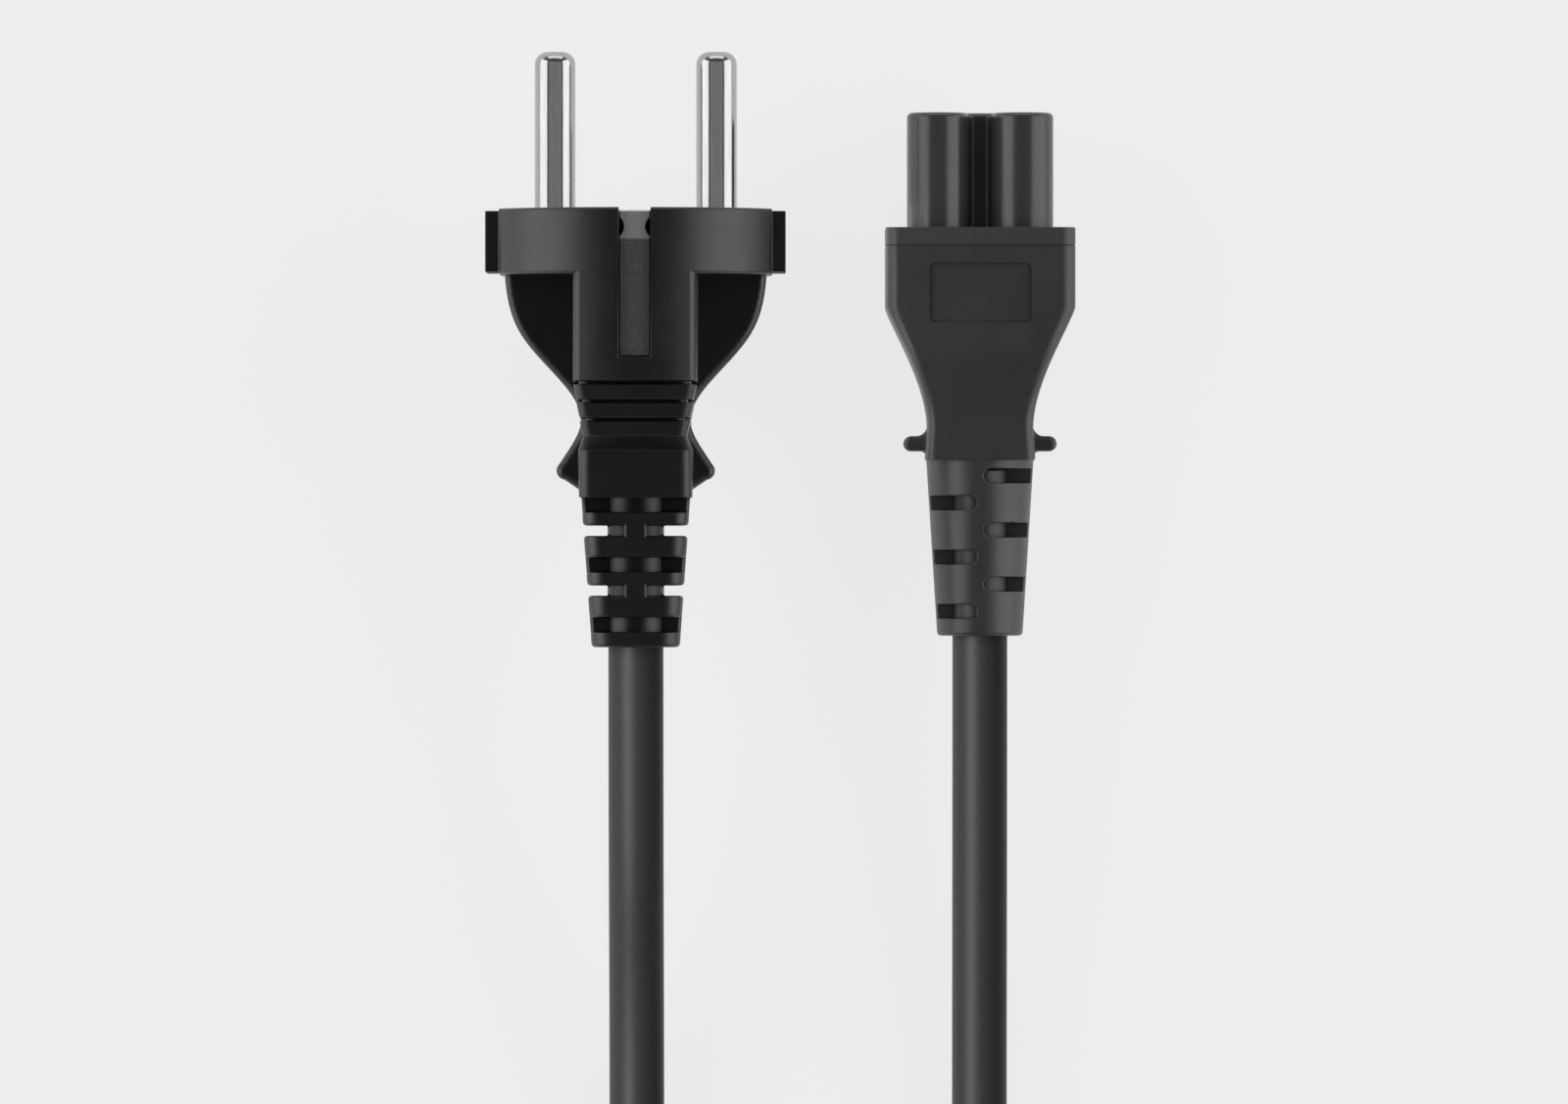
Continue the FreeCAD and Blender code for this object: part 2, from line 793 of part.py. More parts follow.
def cord_coil():
    centre, outer_turn, _ = coil_places()
    half_width = (cord_diameter * coil_turns_per_layer + cord_diameter) / 2
    height = cord_diameter * coil_layers
    inner = centre + Vector(coil_middle_radius - half_width, 0, 0)
    outer = centre + Vector(coil_middle_radius + half_width, 0, 0)
    rise = Vector(0, 0, height)
    section = Part.Face(Part.makePolygon([inner, outer, outer + rise, inner + rise, inner]))
    ring = section.revolve(centre, Vector(0, 0, 1), 360)
    ring = ring.makeFillet(cord_radius * 0.9, ring.Edges)
    return joined(ring, coil_tail(*plug_side_route()), coil_tail(*connector_side_route()))


def check_tube(name, solid, length, radii):
    expected = math.pi * cord_radius ** 2 * length
    share = solid.Volume / expected
    radii_text = ", ".join("%.1f" % radius for radius in radii)
    print("%s: length %.1f, volume share %.5f, radii %s" % (name, length, share, radii_text))


def main():
    parts = {}
    to_connector = Vector(0, mouth_y, connector_z)
    to_plug = Vector(plug_x, plug_face_y, plug_z)
    parts["connector_insert"] = connector_insert().translated(to_connector)
    parts["connector_overmould"] = connector_overmould().translated(to_connector)
    for name, place in contact_places().items():
        parts["contact_" + name] = contact_sleeve(place).translated(to_connector)
        parts["connector_core_" + name] = connector_core(name).translated(to_connector)
    parts["plug_overmould"] = plug_overmould().translated(to_plug)
    parts["plug_pin_carrier"] = plug_carrier().translated(to_plug)
    parts["plug_pin_neutral"] = plug_pin(1).translated(to_plug)
    parts["plug_pin_line"] = plug_pin(-1).translated(to_plug)
    parts["plug_earth_bracket"] = earth_bracket().translated(to_plug)
    parts["plug_earth_sleeve"] = earth_sleeve().translated(to_plug)
    for name in core_turns:
        parts["plug_core_" + name] = plug_core(name).translated(to_plug)
    sides = {"cord_plug_side": plug_side_route(), "cord_connector_side": connector_side_route()}
    for name, (points, _) in sides.items():
        solid, length, radii = tube(points, cord_radius)
        check_tube(name, solid, length, radii)
        parts[name] = solid
    parts["cord_coil"] = cord_coil()
    os.makedirs("parts", exist_ok=True)
    for name, shape in parts.items():
        size = shape.BoundBox
        print(
            "%-24s solids %d valid %s volume %9.1f size %.1f %.1f %.1f"
            % (name, len(shape.Solids), shape.isValid(), shape.Volume, size.XLength, size.YLength, size.ZLength)
        )
        shape.exportStep("parts/%s.step" % name)


main()
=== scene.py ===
import math

import bmesh
import bpy
from mathutils import Matrix, Vector


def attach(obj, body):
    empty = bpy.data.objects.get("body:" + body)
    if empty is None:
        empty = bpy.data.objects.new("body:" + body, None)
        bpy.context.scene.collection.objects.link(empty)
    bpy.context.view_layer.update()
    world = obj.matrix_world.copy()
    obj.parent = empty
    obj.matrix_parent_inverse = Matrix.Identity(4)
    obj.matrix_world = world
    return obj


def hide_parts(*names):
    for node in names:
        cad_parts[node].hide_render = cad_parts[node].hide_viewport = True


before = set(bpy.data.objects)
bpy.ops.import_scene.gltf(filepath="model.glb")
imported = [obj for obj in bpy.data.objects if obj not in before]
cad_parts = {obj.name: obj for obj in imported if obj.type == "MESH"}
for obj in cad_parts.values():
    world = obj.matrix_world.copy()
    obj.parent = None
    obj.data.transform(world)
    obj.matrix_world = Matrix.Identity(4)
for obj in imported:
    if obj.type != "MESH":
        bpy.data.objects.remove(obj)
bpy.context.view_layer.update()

mm = 0.001
fullTurn = 2 * math.pi

# The sizes are millimetres. X is to the right, Y towards the pins and the connector's mouth, Z is up.
connector = {
    "mouthY": 30.9,
    "axisZ": 8.25,
    "reliefEndY": -30.9,
}
plug = {
    "x": -40.6,
    "faceY": 19.3,
    "axisZ": 17.804,
    "reliefEndY": -32.2,
}


def point(x, y, z):
    return Vector((x, y, z)) * mm


# Camera

view = {
    "centre": (-23.16, -21.0, 13.0),
    "width": 185.0,  # across the picture
    "lens": 400.0,
    "sensor": 36.0,
    "farthest": 20.0,  # metres
}


def addCamera():
    distance = view["width"] * view["lens"] / view["sensor"]
    place = point(*view["centre"]) + Vector((0, 0, distance * mm))
    bpy.ops.object.camera_add(location=place, rotation=(0, 0, 0))
    camera = bpy.context.object
    camera.name = "camera"
    camera.data.lens = view["lens"]
    camera.data.sensor_width = view["sensor"]
    camera.data.clip_end = view["farthest"]
    bpy.context.scene.camera = camera


# Floor and light

floorLook = {
    "size": 12.0,  # metres
    "sink": 0.02,  # just under what lies on it
    "shade": 0.14,
    "glow": 0.785,
}
worldLook = {
    "zenith": 0.07,  # strength of the light from straight above
    "horizon": 0.24,
}
# Each end has a tall softbox at both sides, as if it was photographed by itself. One behind lights all,
# a narrow one lights the cord, and a weak one above fills the middle of the pins. A small card between
# the ends brightens the connector's left side.
softboxes = {
    "plugLeft": {"place": (-740, 0, 350), "aim": (0, 0, 350), "size": (1000, 700), "radiance": 1.72},
    "plugRight": {"place": (660, 0, 350), "aim": (0, 0, 350), "size": (1000, 700), "radiance": 1.72},
    "nearLeft": {"place": (-700, 0, 500), "aim": (0, 0, 500), "size": (1000, 1000), "radiance": 1.5},
    "nearRight": {"place": (700, 0, 500), "aim": (0, 0, 500), "size": (1000, 1000), "radiance": 1.5},
    "back": {"place": (-20, 900, 300), "aim": (-20, 0, 100), "size": (1100, 500), "radiance": 1.2},
    "cord": {"place": (-440, -120, 570), "aim": (-20, -120, 0), "size": (1000, 360), "radiance": 8.4},
    "pins": {"place": (-40, 0, 900), "aim": (-40, 0, 0), "size": (1300, 900), "radiance": 0.24},
    "card": {"place": (-20.5, 5, 16), "aim": (0, 5, 16), "size": (30, 32), "radiance": 0.8},
}


def pathSwitch(nodes, links):
    # 1 for what the camera, a gloss or a clear material sees, and 0 for light that bounces.
    rays = nodes.new("ShaderNodeLightPath")
    cameraOrGloss = nodes.new("ShaderNodeMath")
    cameraOrGloss.operation = "MAXIMUM"
    links.new(rays.outputs["Is Camera Ray"], cameraOrGloss.inputs[0])
    links.new(rays.outputs["Is Glossy Ray"], cameraOrGloss.inputs[1])
    seen = nodes.new("ShaderNodeMath")
    seen.operation = "MAXIMUM"
    links.new(cameraOrGloss.outputs[0], seen.inputs[0])
    links.new(rays.outputs["Is Transmission Ray"], seen.inputs[1])
    return seen.outputs[0]


def addFloor():
    bpy.ops.mesh.primitive_plane_add(size=floorLook["size"], location=(0, 0, -floorLook["sink"] * mm))
    floor = bpy.context.object
    floor.name = "floor"
    material = bpy.data.materials.new("paleFloor")
    material.use_nodes = True
    nodes = material.node_tree.nodes
    links = material.node_tree.links
    nodes.clear()
    output = nodes.new("ShaderNodeOutputMaterial")
    both = nodes.new("ShaderNodeAddShader")
    diffuse = nodes.new("ShaderNodeBsdfDiffuse")
    shade = floorLook["shade"]
    diffuse.inputs["Color"].default_value = (shade, shade, shade, 1)
    glow = nodes.new("ShaderNodeEmission")
    strength = nodes.new("ShaderNodeMath")
    strength.operation = "MULTIPLY"
    strength.inputs[1].default_value = floorLook["glow"]
    links.new(pathSwitch(nodes, links), strength.inputs[0])
    links.new(strength.outputs[0], glow.inputs["Strength"])
    links.new(diffuse.outputs[0], both.inputs[0])
    links.new(glow.outputs[0], both.inputs[1])
    links.new(both.outputs[0], output.inputs["Surface"])
    floor.data.materials.append(material)
    return floor


def addWorld():
    world = bpy.data.worlds.new("studio")
    bpy.context.scene.world = world
    world.use_nodes = True
    nodes = world.node_tree.nodes
    links = world.node_tree.links
    background = nodes["Background"]
    direction = nodes.new("ShaderNodeTexCoord")
    split = nodes.new("ShaderNodeSeparateXYZ")
    ramp = nodes.new("ShaderNodeMapRange")
    ramp.inputs["To Min"].default_value = worldLook["horizon"]
    ramp.inputs["To Max"].default_value = worldLook["zenith"]
    links.new(direction.outputs["Generated"], split.inputs[0])
    links.new(split.outputs["Z"], ramp.inputs["Value"])
    links.new(ramp.outputs["Result"], background.inputs["Strength"])
    background.inputs["Color"].default_value = (1, 1, 1, 1)


def addSoftboxes():
    lamps = {}
    for name, box in softboxes.items():
        place = point(*box["place"])
        aim = point(*box["aim"])
        bpy.ops.object.light_add(type="AREA", location=place)
        lamp = bpy.context.object
        lamp.name = "softbox_" + name
        lamp.rotation_euler = (aim - place).to_track_quat("-Z", "Y").to_euler()
        wide, tall = box["size"]
        lamp.data.shape = "RECTANGLE"
        lamp.data.size = wide * mm
        lamp.data.size_y = tall * mm
        area = lamp.data.size * lamp.data.size_y
        lamp.data.energy = box["radiance"] * math.pi * area
        lamp.visible_camera = False
        lamps[name] = lamp
    return lamps


def lightOnly(lamp, name, pieces, alone=False):
    # The lamp lights these pieces and nothing else. With alone, nothing but them casts a shadow in it.
    group = bpy.data.collections.new(name)
    for piece in pieces:
        group.objects.link(piece)
    lamp.light_linking.receiver_collection = group
    if alone:
        lamp.light_linking.blocker_collection = group


# Materials

# Noise seldom comes near 0 or 1, so the stretch between these two values does all the change.
noiseSpan = {
    "rough": (0.3, 0.7),
    "tone": (0.35, 0.65),
}


def shaderOf(material):
    return material.node_tree.nodes["Principled BSDF"]


def newMaterial(name, roughness, metallic=0.0, specular=0.5):
    material = bpy.data.materials.new(name)
    material.use_nodes = True
    shader = shaderOf(material)
    shader.inputs["Roughness"].default_value = roughness
    shader.inputs["Metallic"].default_value = metallic
    shader.inputs["Specular IOR Level"].default_value = specular
    return material


def noiseOn(material, grain, stretch=(1, 1, 1), detail=2.0):
    # Noise on the piece's own coordinates. grain is the size of a speck in millimetres.
    nodes = material.node_tree.nodes
    links = material.node_tree.links
    place = nodes.new("ShaderNodeTexCoord")
    mapping = nodes.new("ShaderNodeMapping")
    mapping.inputs["Scale"].default_value = stretch
    noise = nodes.new("ShaderNodeTexNoise")
    noise.inputs["Scale"].default_value = 1 / (grain * mm)
    noise.inputs["Detail"].default_value = detail
    links.new(place.outputs["Object"], mapping.inputs["Vector"])
    links.new(mapping.outputs["Vector"], noise.inputs["Vector"])
    return noise.outputs["Fac"]


def placeOnY(material):
    # The place along Y in the piece's own coordinates, in metres.
    nodes = material.node_tree.nodes
    links = material.node_tree.links
    place = nodes.new("ShaderNodeTexCoord")
    split = nodes.new("ShaderNodeSeparateXYZ")
    links.new(place.outputs["Object"], split.inputs[0])
    return split.outputs["Y"]


def varyRoughness(material, source, rough):
    nodes = material.node_tree.nodes
    links = material.node_tree.links
    ramp = nodes.new("ShaderNodeMapRange")
    ramp.inputs["From Min"].default_value = noiseSpan["rough"][0]
    ramp.inputs["From Max"].default_value = noiseSpan["rough"][1]
    ramp.inputs["To Min"].default_value = rough[0]
    ramp.inputs["To Max"].default_value = rough[1]
    links.new(source, ramp.inputs["Value"])
    links.new(ramp.outputs["Result"], shaderOf(material).inputs["Roughness"])


def twoTone(material, source, dark, light):
    nodes = material.node_tree.nodes
    links = material.node_tree.links
    ramp = nodes.new("ShaderNodeValToRGB")
    ramp.color_ramp.elements[0].position = noiseSpan["tone"][0]
    ramp.color_ramp.elements[0].color = dark + (1,)
    ramp.color_ramp.elements[1].position = noiseSpan["tone"][1]
    ramp.color_ramp.elements[1].color = light + (1,)
    links.new(source, ramp.inputs["Fac"])
    links.new(ramp.outputs["Color"], shaderOf(material).inputs["Base Color"])
    return ramp.outputs["Color"]


def roughen(material, source, depth, strength):
    # depth is the height of the grain in millimetres.
    nodes = material.node_tree.nodes
    links = material.node_tree.links
    bump = nodes.new("ShaderNodeBump")
    bump.inputs["Strength"].default_value = strength
    bump.inputs["Distance"].default_value = depth * mm
    links.new(source, bump.inputs["Height"])
    links.new(bump.outputs["Normal"], shaderOf(material).inputs["Normal"])


softPlastic = {
    "plug": {"dark": (0.0034, 0.0034, 0.0036), "light": (0.0048, 0.0048, 0.0051)},
    "connector": {"dark": (0.034, 0.034, 0.035), "light": (0.041, 0.041, 0.042)},
    "rough": (0.38, 0.45),
    "gloss": 0.78,
    "patch": 5.0,
    "grain": 0.22,
    "depth": 0.012,
    "strength": 0.35,
}


def makeSoftPlastic(name, tones):
    # Soft moulded plastic with the fine grain of a spark-eroded mould.
    material = newMaterial(name, softPlastic["rough"][0], specular=softPlastic["gloss"])
    grain = noiseOn(material, softPlastic["grain"])
    patches = noiseOn(material, softPlastic["patch"])
    twoTone(material, grain, tones["dark"], tones["light"])
    varyRoughness(material, patches, softPlastic["rough"])
    roughen(material, grain, softPlastic["depth"], softPlastic["strength"])
    return material


hardPlastic = {
    "dark": (0.045, 0.045, 0.0462),
    "light": (0.054, 0.054, 0.0555),
    "gloss": 0.72,
    "noseLength": 13.6,
    "margin": 0.05,  # past the front face of the collar
    "noseRough": 0.26,
    "collarRough": 0.46,
    "grain": 0.2,
    "depth": 0.008,
    "strength": 0.35,
}


def makeHardPlastic(name):
    # The nose is smooth and the collar behind it has the grain of the body, by the place along Y.
    material = newMaterial(name, hardPlastic["noseRough"], specular=hardPlastic["gloss"])
    nodes = material.node_tree.nodes
    links = material.node_tree.links
    grain = noiseOn(material, hardPlastic["grain"])
    twoTone(material, grain, hardPlastic["dark"], hardPlastic["light"])
    onCollar = nodes.new("ShaderNodeMath")
    onCollar.operation = "LESS_THAN"
    collarFront = connector["mouthY"] - hardPlastic["noseLength"] + hardPlastic["margin"]
    onCollar.inputs[1].default_value = collarFront * mm
    links.new(placeOnY(material), onCollar.inputs[0])
    ramp = nodes.new("ShaderNodeMapRange")
    ramp.inputs["To Min"].default_value = hardPlastic["noseRough"]
    ramp.inputs["To Max"].default_value = hardPlastic["collarRough"]
    links.new(onCollar.outputs[0], ramp.inputs["Value"])
    links.new(ramp.outputs["Result"], shaderOf(material).inputs["Roughness"])
    height = nodes.new("ShaderNodeMath")
    height.operation = "MULTIPLY"
    links.new(grain, height.inputs[0])
    links.new(onCollar.outputs[0], height.inputs[1])
    roughen(material, height.outputs[0], hardPlastic["depth"], hardPlastic["strength"])
    return material


nickel = {
    "dark": (0.42, 0.415, 0.41),
    "light": (0.5, 0.495, 0.49),
    "rough": (0.09, 0.15),
    "grain": 0.12,
    "stretch": (1, 0.03, 1),
    "depth": 0.002,
    "strength": 0.2,
}


def makeNickel(name):
    # Plated pins, polished along their length.
    material = newMaterial(name, nickel["rough"][0], metallic=1.0)
    streaks = noiseOn(material, nickel["grain"], nickel["stretch"])
    twoTone(material, streaks, nickel["dark"], nickel["light"])
    varyRoughness(material, streaks, nickel["rough"])
    roughen(material, streaks, nickel["depth"], nickel["strength"])
    return material


dullNickel = {
    "dark": (0.22, 0.22, 0.223),
    "light": (0.31, 0.31, 0.314),
    "worn": (0.72, 0.72, 0.74),
    "wornLength": 3.85,  # behind the face of the plug
    "wornFade": 0.3,
    "rough": (0.42, 0.55),
    "grain": 0.16,
    "detail": 3.0,
    "depth": 0.014,
    "strength": 0.4,
}


def makeDullNickel(name):
    # Dull plating with fine grain, rubbed bright at the front where the socket's springs touch it.
    material = newMaterial(name, dullNickel["rough"][0], metallic=1.0)
    nodes = material.node_tree.nodes
    links = material.node_tree.links
    grain = noiseOn(material, dullNickel["grain"], detail=dullNickel["detail"])
    plain = twoTone(material, grain, dullNickel["dark"], dullNickel["light"])
    rubbed = nodes.new("ShaderNodeMapRange")
    wornFrom = plug["faceY"] - dullNickel["wornLength"]
    rubbed.inputs["From Min"].default_value = wornFrom * mm
    rubbed.inputs["From Max"].default_value = (wornFrom + dullNickel["wornFade"]) * mm
    links.new(placeOnY(material), rubbed.inputs["Value"])
    mix = nodes.new("ShaderNodeMix")
    mix.data_type = "RGBA"
    mix.inputs["B"].default_value = dullNickel["worn"] + (1,)
    links.new(rubbed.outputs["Result"], mix.inputs["Factor"])
    links.new(plain, mix.inputs["A"])
    links.new(mix.outputs["Result"], shaderOf(material).inputs["Base Color"])
    varyRoughness(material, grain, dullNickel["rough"])
    roughen(material, grain, dullNickel["depth"], dullNickel["strength"])
    return material


brass = {
    "dark": (0.62, 0.44, 0.19),
    "light": (0.74, 0.55, 0.26),
    "rough": (0.22, 0.34),
    "grain": 0.3,
    "stretch": (1, 0.15, 1),
    "depth": 0.003,
    "strength": 0.2,
}


def makeBrass(name):
    material = newMaterial(name, brass["rough"][0], metallic=1.0)
    stain = noiseOn(material, brass["grain"], brass["stretch"])
    twoTone(material, stain, brass["dark"], brass["light"])
    varyRoughness(material, stain, brass["rough"])
    roughen(material, stain, brass["depth"], brass["strength"])
    return material


jacket = {
    "dark": (0.025, 0.025, 0.0256),
    "light": (0.031, 0.031, 0.0318),
    "gloss": 0.24,
    "rough": (0.42, 0.5),
    "speck": 0.25,
    "line": 0.5,
    "stretch": (1, 0.05, 1),
    "depth": 0.006,
    "strength": 0.25,
}


def makeJacket(name):
    # Drawn cord jacket: smooth, with faint draw lines along it.
    material = newMaterial(name, jacket["rough"][0], specular=jacket["gloss"])
    lines = noiseOn(material, jacket["line"], jacket["stretch"])
    specks = noiseOn(material, jacket["speck"])
    twoTone(material, specks, jacket["dark"], jacket["light"])
    varyRoughness(material, specks, jacket["rough"])
    roughen(material, lines, jacket["depth"], jacket["strength"])
    return material


insulation = {
    "brown": {"dark": (0.13, 0.055, 0.028), "light": (0.16, 0.07, 0.036)},
    "blue": {"dark": (0.03, 0.11, 0.4), "light": (0.04, 0.14, 0.47)},
    "green": (0.05, 0.28, 0.06),
    "yellow": (0.75, 0.62, 0.05),
    "rough": 0.38,
    "grain": 0.4,
    "stripeScale": 250.0,
}


def makeInsulation(name, tones):
    material = newMaterial(name, insulation["rough"])
    twoTone(material, noiseOn(material, insulation["grain"]), tones["dark"], tones["light"])
    return material


def makeStripedInsulation(name):
    # Green with a yellow band that winds round the core.
    material = newMaterial(name, insulation["rough"])
    nodes = material.node_tree.nodes
    links = material.node_tree.links
    place = nodes.new("ShaderNodeTexCoord")
    wave = nodes.new("ShaderNodeTexWave")
    wave.bands_direction = "DIAGONAL"
    wave.inputs["Scale"].default_value = insulation["stripeScale"]
    links.new(place.outputs["Object"], wave.inputs["Vector"])
    twoTone(material, wave.outputs["Fac"], insulation["green"], insulation["yellow"])
    return material


def makeMaterials():
    return {
        "plugBlack": makeSoftPlastic("plugBlack", softPlastic["plug"]),
        "connectorBlack": makeSoftPlastic("connectorBlack", softPlastic["connector"]),
        "insertBlack": makeHardPlastic("insertBlack"),
        "pinNickel": makeNickel("pinNickel"),
        "stripNickel": makeDullNickel("stripNickel"),
        "contactBrass": makeBrass("contactBrass"),
        "cordJacket": makeJacket("cordJacket"),
        "brownCore": makeInsulation("brownCore", insulation["brown"]),
        "blueCore": makeInsulation("blueCore", insulation["blue"]),
        "stripedCore": makeStripedInsulation("stripedCore"),
    }


# Cord

cord = {
    "diameter": 6.5,
    "length": 1500.0,
    "overlap": 21.5,  # inside the strain relief
    "groundY": -80.0,  # lies on the floor from here
    "bendY": -100.0,  # turns towards the coil here
    "plugDroop": 14.6,
    "connectorDroop": 13.8,
    "tail": 18.0,
    "approach": 43.0,  # straight run from the bend to the coil
    "middleRadius": 34.8,
    "turnsPerLayer": 2.7,
    "pointsPerTurn": 16,
    "stepsPerPoint": 10,
    "roundness": 8,
}


def coilPlace():
    # The centre is equally far from both bends, so that each stretch runs straight onto the outer turn.
    outer = cord["middleRadius"] + cord["diameter"] * cord["turnsPerLayer"] / 2
    reach = math.hypot(outer, cord["approach"])
    half = -plug["x"] / 2
    centre = Vector((plug["x"] / 2, cord["bendY"] - math.sqrt(reach ** 2 - half ** 2), 0))
    return centre, outer, reach


def sideRoute(x, endY, axisZ, droop, side):
    # From inside the strain relief down to the floor, then on towards the coil.
    radius = cord["diameter"] / 2
    bend = Vector((x, cord["bendY"], radius))
    centre, outer, reach = coilPlace()
    toward = math.atan2(bend.y - centre.y, bend.x - centre.x)
    angle = toward + side * math.acos(outer / reach)
    layerZ = radius if side > 0 else radius + cord["diameter"]
    touch = centre + Vector((outer * math.cos(angle), outer * math.sin(angle), layerZ))
    tail = bend + (touch - bend).normalized() * cord["tail"]
    start = Vector((x, endY + cord["overlap"], axisZ))
    sag = Vector((x, endY - droop, axisZ))
    ground = Vector((x, cord["groundY"], radius))
    return [start, sag, ground, bend, tail], angle


def coilTurns(startAngle, endAngle):
    # Inwards on the floor, up over the innermost turn, and outwards on top.
    centre, outer, _ = coilPlace()
    perLayer = cord["turnsPerLayer"] * fullTurn
    full = endAngle - startAngle
    while full < 2 * perLayer:
        full += fullTurn
    climb = full - 2 * perLayer
    inner = outer - cord["diameter"] * cord["turnsPerLayer"]
    low = cord["diameter"] / 2
    count = round(full / fullTurn * cord["pointsPerTurn"])
    step = full / count
    points = []
    for index in range(count):
        turned = step * (index + 0.5)
        if turned < perLayer:
            radius = outer + (inner - outer) * turned / perLayer
            height = low
        elif turned < perLayer + climb:
            share = (turned - perLayer) / climb
            radius = inner
            height = low + cord["diameter"] * share
        else:
            radius = inner + (outer - inner) * (turned - perLayer - climb) / perLayer
            height = low + cord["diameter"]
        radius /= math.cos(step / 2)
        angle = startAngle + turned
        points.append(centre + Vector((radius * math.cos(angle), radius * math.sin(angle), height)))
    return points


def addCord(material):
    plugSide, plugAngle = sideRoute(plug["x"], plug["reliefEndY"], plug["axisZ"], cord["plugDroop"], 1)
    connectorSide, connectorAngle = sideRoute(
        0, connector["reliefEndY"], connector["axisZ"], cord["connectorDroop"], -1
    )
    coil = coilTurns(plugAngle, connectorAngle)
    route = connectorSide + coil[::-1] + plugSide[::-1]
    curve = bpy.data.curves.new("cord", "CURVE")
    curve.dimensions = "3D"
    curve.bevel_depth = cord["diameter"] / 2 * mm
    curve.bevel_resolution = cord["roundness"]
    curve.resolution_u = cord["stepsPerPoint"]
    curve.use_fill_caps = True
    spline = curve.splines.new("NURBS")
    spline.points.add(len(route) - 1)
    for place, spot in zip(route, spline.points):
        spot.co = (place.x * mm, place.y * mm, place.z * mm, 1)
    spline.order_u = 3
    spline.use_endpoint_u = True
    piece = bpy.data.objects.new("cord", curve)
    bpy.context.scene.collection.objects.link(piece)
    curve.materials.append(material)
    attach(piece, "root")
    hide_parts("cord_plug_side", "cord_connector_side", "cord_coil")
    return piece


# Moulded and stamped pieces

softened = {
    "merge": 0.002,
    "flatAngle": 0.3,  # faces that differ by less become one
    "sharpAngle": 32.0,  # edges above this are bevelled
    "acuteAngle": 35.0,  # corners below this stay as they are
    "segments": 2,
    "flatCorners": 8,  # faces with more are put back in their plane
    "flatReach": 0.3,
}


def selectOnly(piece):
    bpy.ops.object.select_all(action="DESELECT")
    piece.select_set(True)
    bpy.context.view_layer.objects.active = piece


def markEdges(mesh, share):
    # Sharp edges get a bevel, except at a very acute corner, where a bevel would run far along the face.
    shape = bmesh.new()
    shape.from_mesh(mesh)
    weight = shape.edges.layers.float.new("bevel_weight_edge")
    sharpest = math.radians(softened["sharpAngle"])
    sharp = {edge for edge in shape.edges if edge.calc_face_angle(0) > sharpest}
    acute = set()
    for face in shape.faces:
        for corner in face.loops:
            both = corner.edge in sharp and corner.link_loop_prev.edge in sharp
            if both and corner.calc_angle() < math.radians(softened["acuteAngle"]):
                acute.add(corner.vert)
    for edge in sharp:
        if not acute.intersection(edge.verts):
            edge[weight] = share((edge.verts[0].co + edge.verts[1].co) / 2)
    shape.to_mesh(mesh)
    shape.free()


def flattenFaces(mesh):
    # The bevel pulls some corners of the large flat faces a little out of their plane.
    for face in mesh.polygons:
        if len(face.vertices) > softened["flatCorners"]:
            normal = face.normal.copy()
            heights = sorted(mesh.vertices[index].co.dot(normal) for index in face.vertices)
            level = heights[len(heights) // 2]
            for index in face.vertices:
                lift = mesh.vertices[index].co.dot(normal) - level
                if abs(lift) < softened["flatReach"]:
                    mesh.vertices[index].co -= normal * lift


def evenShare(place):
    return 1


def softenedCopy(node, name, edge, material, share=evenShare):
    # A merged copy of the node, its flat faces cleaned and its edges broken by a small bevel.
    # It is worked on a thousand times larger, because the bevel is inexact on shapes this small.
    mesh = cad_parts[node].data.copy()
    mesh.materials.clear()
    mesh.materials.append(material)
    piece = bpy.data.objects.new(name, mesh)
    bpy.context.scene.collection.objects.link(piece)
    mesh.transform(Matrix.Scale(1 / mm, 4))
    selectOnly(piece)
    bpy.ops.object.mode_set(mode="EDIT")
    bpy.ops.mesh.select_all(action="SELECT")
    bpy.ops.mesh.remove_doubles(threshold=softened["merge"])
    bpy.ops.mesh.dissolve_limited(angle_limit=math.radians(softened["flatAngle"]))
    bpy.ops.object.mode_set(mode="OBJECT")
    markEdges(mesh, share)
    bevel = piece.modifiers.new("edges", "BEVEL")
    bevel.width = edge
    bevel.segments = softened["segments"]
    bevel.limit_method = "WEIGHT"
    bevel.use_clamp_overlap = False
    bpy.ops.object.modifier_apply(modifier=bevel.name)
    flattenFaces(mesh)
    bpy.ops.object.shade_smooth_by_angle(angle=math.radians(softened["sharpAngle"]))
    normals = piece.modifiers.new("flats", "WEIGHTED_NORMAL")
    normals.keep_sharp = True
    bpy.ops.object.modifier_apply(modifier=normals.name)
    mesh.transform(Matrix.Scale(mm, 4))
    print(name, "faces", len(mesh.polygons))
    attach(piece, "root")
    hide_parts(node)
    return piece


connectorBody = {
    "edge": 0.16,
    "labelHalfWidth": 7.2,
    "labelBack": 5.4,
    "labelFront": 14.2,
    "labelRise": 7.6,
}


def connectorShare(place):
    # The rim of the bare label recess stays crisp.
    across = abs(place.x) < connectorBody["labelHalfWidth"]
    along = connectorBody["labelBack"] < place.y < connectorBody["labelFront"]
    raised = abs(place.z - connector["axisZ"]) > connectorBody["labelRise"]
    return 0 if across and along and raised else 1


def addConnectorBody(material):
    return softenedCopy(
        "connector_overmould",
        "connector_body",
        connectorBody["edge"],
        material,
        connectorShare,
    )


connectorNose = {"edge": 0.14}


def addConnectorNose(material):
    return softenedCopy(
        "connector_insert", "connector_nose", connectorNose["edge"], material
    )


plugBody = {
    "edge": 0.15,
    "combEdge": 0.36,  # on the ribs of the strain relief
    "combFront": -14.65,
    "combEnd": -32.1,
    "bore": 4.0,  # edges nearer to the axis belong to the bore
    "boreShare": 0.25,
}


